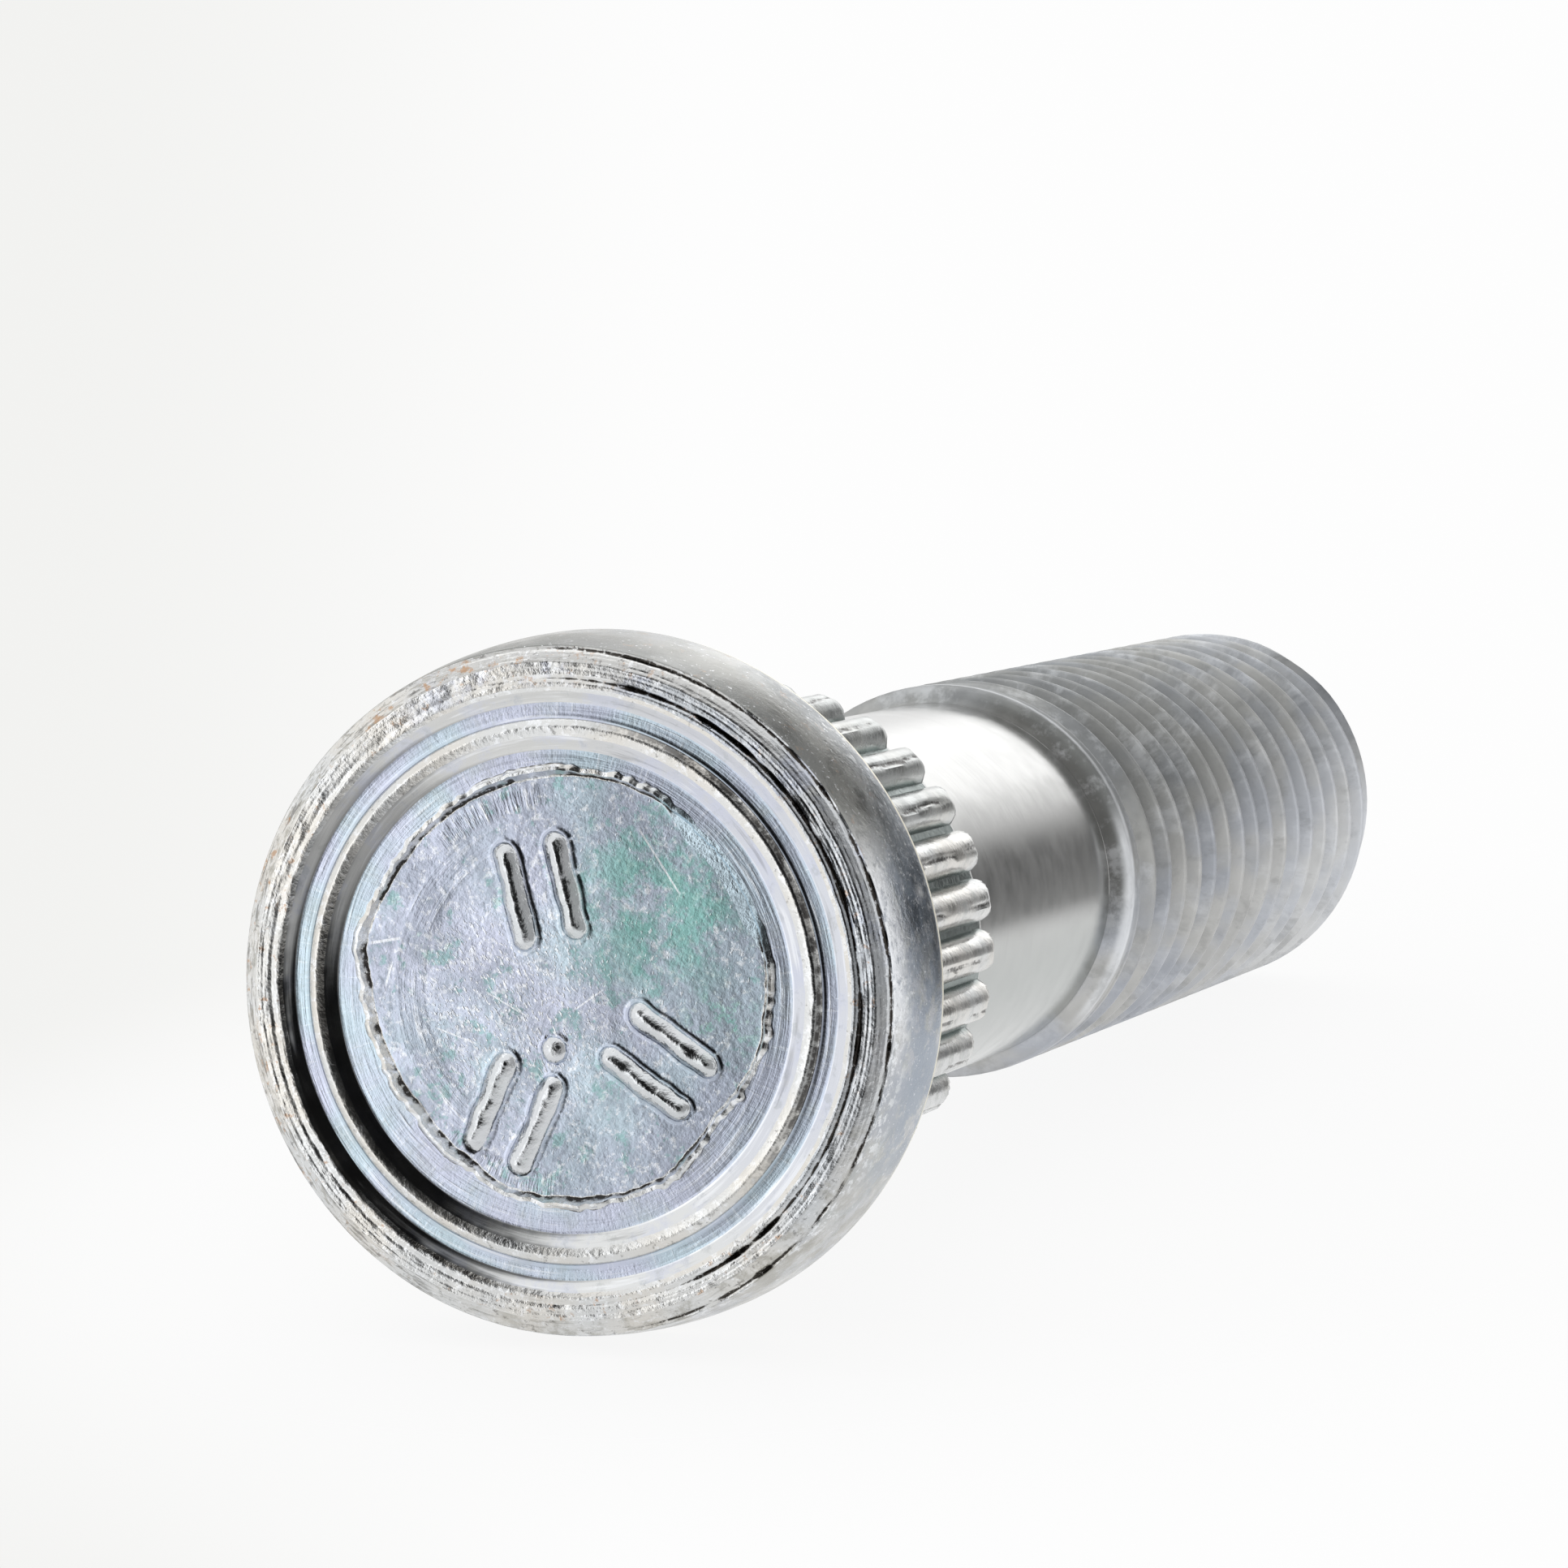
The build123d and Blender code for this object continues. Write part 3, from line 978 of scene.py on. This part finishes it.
def flank_plating():
    zinc = Plating("zinc_flank", GREY, STEEL, (0.14, 0.3))
    zinc.grain(0.01, 3.0)
    zinc.grain(0.004, 14.0)
    zinc.patches(DULL, 0.8, 1.8, 0.46, 0.6)
    # Painted shade: slate patches on the right of the flank, weaker near the face
    away = zinc.rise(zinc.z, 0.6, 2.2, 0.3, 1.0)
    zinc.patches(SLATE, 0.95, 1.2, 0.42, 0.54, zinc.times(zinc.sector(15, 45), away))
    # Painted shade: dark blue-grey patches on the right of the flank away from the face, flecked with pale
    painted_shade_zone = zinc.times(zinc.sector(34, 26), zinc.rise(zinc.z, 0.8, 2.2))
    zinc.patches(PAINTED_SHADE, 0.95, 2.0, 0.32, 0.52, painted_shade_zone)
    zinc.patches(PALE, 0.5, 4.5, 0.54, 0.64, painted_shade_zone)
    zinc.patches(PALE, 0.8, 3.6, 0.48, 0.6, zinc.rise(zinc.z, 1.7, 0.4))
    # Painted light: pale patches on the right of the flank near the face
    edge = zinc.times(zinc.sector(18, 24), zinc.rise(zinc.z, 1.3, 0.5))
    zinc.patches(PALE, 0.7, 3.0, 0.36, 0.52, edge)
    # Towards the face at the top of the flank as seen: a dust tint, then painted shade in the film colour
    zinc.paint(DUST, zinc.sector(75, 45), zinc.rise(zinc.z, 3.3, 0.8, 0.35, 1.0))
    zinc.paint(FILM_AND_SHADE, zinc.sector(75, 42), zinc.rise(zinc.z, 3.2, 0.3, 0.05, 0.95))
    zinc.patches(PALE, 0.7, 7.0, 0.6, 0.68)
    zinc.patches(RUST, 0.35, 2.4, 0.58, 0.7, zinc.sector(90, 60))
    zinc.patches(DUST, 0.9, 1.0, 0.42, 0.6, zinc.sector(285, 40))
    return zinc.done()


def rim_plating():
    # A pale cream tint on the rounded rim: partly the rim's own tint, partly a painted highlight along it
    zinc = Plating("zinc_rim", CREAM, CREAM, (0.3, 0.42))
    zinc.patches(RUST, 0.3, 3.0, 0.62, 0.7)
    return zinc.done()


def teeth_plating():
    zinc = Plating("zinc_teeth", NEUTRAL, WARM, (0.16, 0.3))
    zinc.grain(0.01, 5.0)
    zinc.patches(DULL, 0.5, 2.2, 0.5, 0.64)
    # Painted shade: the teeth at the upper right as seen are duller
    zinc.paint(DULL, zinc.sector(60, 28), 0.7)
    zinc.paint(VALLEY, zinc.rise(zinc.radius, ROOT_RADIUS + 0.24, ROOT_RADIUS + 0.04))
    return zinc.done()


def shank_plating():
    zinc = Plating("zinc_shank", GREY, GREY, (0.14, 0.2))
    zinc.calm(0.3)
    zinc.round_lines(0.0004, 0.04, 0.05, 6.0)
    # Painted shade: duller towards the lower side as seen
    zinc.paint(DULL, zinc.rise(zinc.y, -1.0, 2.0, 0.0, 0.95))
    return zinc.done()


# Finish of the thread, with painted shade on its top and round its start and painted highlights near the
# start: heights along the axis between which each tint comes or goes
THREAD_TOP_WAY = (0.4, -0.92, 0)   # side of the thread that lies uppermost in the view
FAR_PALE = (42.0, TIP_HEIGHT)
FAR_TOP_SHADE = (40.0, 60.0)
NEAR_TOP_SHADE = (46.0, 33.0)
TIP_PALE = (58.5, 62.0)
CONE_SHADE = (32.4, 31.8)
CONE_CORNER = (31.85, 31.5)
CONE_HIGHLIGHT = (31.75, 32.3)
FIRST_CREST_HIGHLIGHT = (32.1, 32.35)


def thread_plating():
    zinc = Plating("zinc_thread", GREY, STEEL, (0.42, 0.58))
    zinc.grain(0.008, 5.0)
    upward = zinc.dot(zinc.way, THREAD_TOP_WAY)
    # Painted light: pale on the lower right side as seen, growing towards the tip
    below = zinc.times(zinc.rise(upward, 0.97, 0.65), zinc.sector(330, 75))
    zinc.paint(PALE, below, zinc.rise(zinc.z, *FAR_PALE, 0.0, 0.4))
    # Painted shade: dark on the side that lies uppermost in the view, weaker towards the tip, and a little
    # more near the start
    shaded_top = zinc.rise(upward, 0.4, 0.95, 0.0, 0.72)
    zinc.paint(FILM_AND_SHADE, shaded_top, zinc.rise(zinc.z, *FAR_TOP_SHADE, 1.0, 0.6))
    zinc.paint(FILM_AND_SHADE, zinc.rise(upward, 0.0, 0.5), zinc.rise(zinc.z, *NEAR_TOP_SHADE, 0.0, 0.3))
    zinc.paint(PALE, zinc.rise(zinc.z, *TIP_PALE, 0.0, 0.1))
    # Painted shade across the cone where the thread begins, darkest in the corner next to the shank
    zinc.paint(FILM_AND_SHADE, zinc.rise(zinc.z, *CONE_SHADE, 0.0, 0.9), zinc.sector(34, 40))
    zinc.paint(GRIME_AND_SHADE, zinc.rise(zinc.z, *CONE_CORNER, 0.0, 0.5), zinc.sector(34, 40))
    # Painted highlights: a pale streak on the cone at the lower right and a pale line along the first crest
    zinc.paint(PALE, zinc.between(zinc.z, *CONE_HIGHLIGHT, 0.12), zinc.sector(350, 30), 0.6)
    zinc.paint(PALE, zinc.between(zinc.z, *FIRST_CREST_HIGHLIGHT, 0.1), zinc.sector(40, 70), 0.35)
    blotched = zinc.around(24, 0.0, 0.7)
    zinc.patches(PALE, 0.2, 1.0, 0.5, 0.66, place=blotched)
    zinc.patches(FILM_AND_SHADE, 0.25, 1.3, 0.5, 0.66, place=blotched)
    return zinc.done()


def tip_plating():
    zinc = Plating("zinc_tip", GREY, STEEL, (0.3, 0.45))
    zinc.grain(0.008, 5.0)
    zinc.patches(DULL, 0.6, 1.2, 0.46, 0.62)
    return zinc.done()


def make_materials():
    return {
        "disc": disc_plating(),
        "flash": flash_plating(),
        "ring": ring_plating(),
        "slope": slope_plating(),
        "land": land_plating(),
        "band": band_plating(),
        "bevel": bevel_plating(),
        "flank": flank_plating(),
        "rim": rim_plating(),
        "teeth": teeth_plating(),
        "shank": shank_plating(),
        "thread": thread_plating(),
        "tip": tip_plating(),
    }


# Table, camera and light
SURROUND = (0.985, 0.985, 0.985, 1)
TABLE_WHITE = (0.95, 0.95, 0.945, 1)
TABLE_SLOPE = (HEAD_RADIUS - THREAD_RADIUS) / (TIP_HEIGHT - TIP_CHAMFER - RIM_HEIGHT)
TABLE_UP = Vector((0, -1, -TABLE_SLOPE)).normalized()
TABLE_BACK = Vector((0, -TABLE_SLOPE, 1)).normalized()
TABLE_TOUCH = Vector((0, HEAD_RADIUS, RIM_HEIGHT))
TABLE_MIDDLE = 30          # from the head to the middle of the table, along the stud
TABLE_WIDE = 36            # half size, sideways
TABLE_LONG = 66            # half size, along the stud
TABLE_SOLID = 0.5          # inner share of that size that is fully there
TABLE_GLOW = 0.91          # share of the table's white that takes no shadow


def mirrored_rays(graph):
    """1 for rays from the camera and for mirrored or refracted ones, 0 for rays that light matt surfaces."""
    rays = graph.tree.nodes.new("ShaderNodeLightPath").outputs
    seen = graph.math("MAXIMUM", rays["Is Camera Ray"], rays["Is Glossy Ray"])
    return graph.math("MAXIMUM", seen, rays["Is Transmission Ray"])


def table_material(middle):
    """White that fades out away from the middle. Seen from below it isn't there."""
    material = bpy.data.materials.new("white_table")
    material.use_nodes = True
    graph = Graph(material.node_tree)
    matt = graph.node("BsdfDiffuse", {"Color": TABLE_WHITE})
    glow = graph.node("Emission", {"Color": SURROUND, "Strength": 1.0})
    glowing = graph.times(mirrored_rays(graph), TABLE_GLOW)
    top = graph.node("MixShader", {0: glowing, 1: matt, 2: glow})
    place = graph.node("TexCoord", output="Object")
    off = graph.node("VectorMath", {0: place, 1: tuple(middle * MM)}, operation="SUBTRACT")
    along = graph.dot(off, tuple(TABLE_BACK / (TABLE_LONG * MM)))
    across = graph.dot(off, (1 / (TABLE_WIDE * MM), 0, 0))
    faded = graph.rise(graph.length(graph.vector(along, across, 0.0)), TABLE_SOLID, 1.0)
    gone = graph.math("MAXIMUM", faded, graph.node("NewGeometry", output="Backfacing"))
    clear = graph.node("BsdfTransparent")
    graph.finish("OutputMaterial", graph.node("MixShader", {0: gone, 1: top, 2: clear}))
    return material


def make_table():
    """White table top under the lying stud, fading into the white room."""
    middle = TABLE_TOUCH + TABLE_BACK * TABLE_MIDDLE
    corners = []
    for side, back in ((-1, -1), (1, -1), (1, 1), (-1, 1)):
        corners.append(Vector((side * TABLE_WIDE, 0, 0)) + TABLE_BACK * back * TABLE_LONG + middle)
    mesh = bpy.data.meshes.new("table")
    mesh.from_pydata([corner * MM for corner in corners], [], [(0, 1, 2, 3)])
    if mesh.polygons[0].normal.dot(TABLE_UP) < 0:
        mesh.flip_normals()
    mesh.materials.append(table_material(middle))
    table = bpy.data.objects.new("table", mesh)
    bpy.context.scene.collection.objects.link(table)
    return table


CAMERA_PLACE = Vector((56.5, -18.7, -146.84))
CAMERA_AIM = Vector((4.56, -5.24, 3.9))
CAMERA_LENS = 143.1
CAMERA_SENSOR = 36
CAMERA_NEAREST = 10 * MM   # in metres
CAMERA_FARTHEST = 20       # in metres


def make_camera():
    data = bpy.data.cameras.new("camera")
    data.lens = CAMERA_LENS
    data.sensor_width = CAMERA_SENSOR
    data.clip_start = CAMERA_NEAREST
    data.clip_end = CAMERA_FARTHEST
    camera = bpy.data.objects.new("camera", data)
    forward = (CAMERA_AIM - CAMERA_PLACE).normalized()
    right = forward.cross(TABLE_UP).normalized()
    up = right.cross(forward)
    turn_to = Matrix((right, up, -forward)).transposed().to_4x4()
    camera.matrix_world = Matrix.Translation(CAMERA_PLACE * MM) @ turn_to
    bpy.context.scene.collection.objects.link(camera)
    bpy.context.scene.camera = camera


LAMP_FROM = Vector((-0.25, -0.85, 0.4))
LAMP_STRENGTH = 0.7
LAMP_ANGLE = 70
FILL_STRENGTH = 0.75

# What the camera and the metal see: a white room, duller at the back left and brighter in front, with spots
# of light and dark
BACK_LEFT = (0.89, 0.89, 0.875, 1)
BACK_LEFT_EDGE = (-0.33, -0.44)  # where it begins and is full, sideways
FRONT_BRIGHT = (1.15, 1.15, 1.15, 1)
FRONT_EDGE = (0.5, 0.0)    # where it begins and is full, along the stud
ROOM_SPOTS = (
    # direction, reach of the full spot, reach where it ends, brightness
    (Vector((-0.03, -0.37, 0.93)), 0.15, 0.34, 1.6),
    (Vector((0.29, 0.14, 0.945)), 0.06, 0.24, 0.34),
    (Vector((0.12, -0.58, 0.805)), 0.05, 0.26, 0.4),
    (Vector((0.29, -0.36, 0.885)), 0.06, 0.19, 0.12),
    (Vector((0.38, -0.09, 0.92)), 0.07, 0.25, 0.08),
    (Vector((-0.47, 0.02, -0.88)), 0.1, 0.32, 1.6),
    (Vector((0.44, -0.08, -0.935)), 0.7, 0.89, 0.47),
    (Vector((0.13, -0.18, -0.95)), 0.3, 0.62, 0.006),
)


def make_lamp():
    """One large soft lamp for matt surfaces."""
    data = bpy.data.lights.new("soft_lamp", "SUN")
    data.energy = LAMP_STRENGTH
    data.angle = radians(LAMP_ANGLE)
    lamp = bpy.data.objects.new("soft_lamp", data)
    lamp.rotation_euler = LAMP_FROM.to_track_quat("Z", "Y").to_euler()
    bpy.context.scene.collection.objects.link(lamp)


def make_room():
    """An even fill for matt surfaces, and the room that the metal mirrors."""
    world = bpy.data.worlds.new("studio")
    bpy.context.scene.world = world
    world.use_nodes = True
    graph = Graph(world.node_tree)
    way = graph.node("TexCoord", output="Generated")
    left = graph.rise(graph.dot(way, (1, 0, 0)), *BACK_LEFT_EDGE)
    room = graph.mix(left, SURROUND, BACK_LEFT)
    front = graph.rise(graph.dot(way, (0, 0, 1)), *FRONT_EDGE)
    room = graph.mix(front, room, FRONT_BRIGHT)
    for middle, full, none, brightness in ROOM_SPOTS:
        near = graph.rise(graph.distance(way, tuple(middle.normalized())), none, full)
        room = graph.mix(near, room, (brightness, brightness, brightness, 1))
    fill = graph.node("Background", {"Color": SURROUND, "Strength": FILL_STRENGTH})
    shown = graph.node("Background", {"Color": room, "Strength": 1.0})
    graph.finish("OutputWorld", graph.node("MixShader", {0: mirrored_rays(graph), 1: fill, 2: shown}))


stud = make_stud(make_materials())
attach(stud, "root")
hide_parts("wheel_stud")
make_table()
make_camera()
make_lamp()
make_room()

bpy.context.scene.view_settings.view_transform = "Standard"
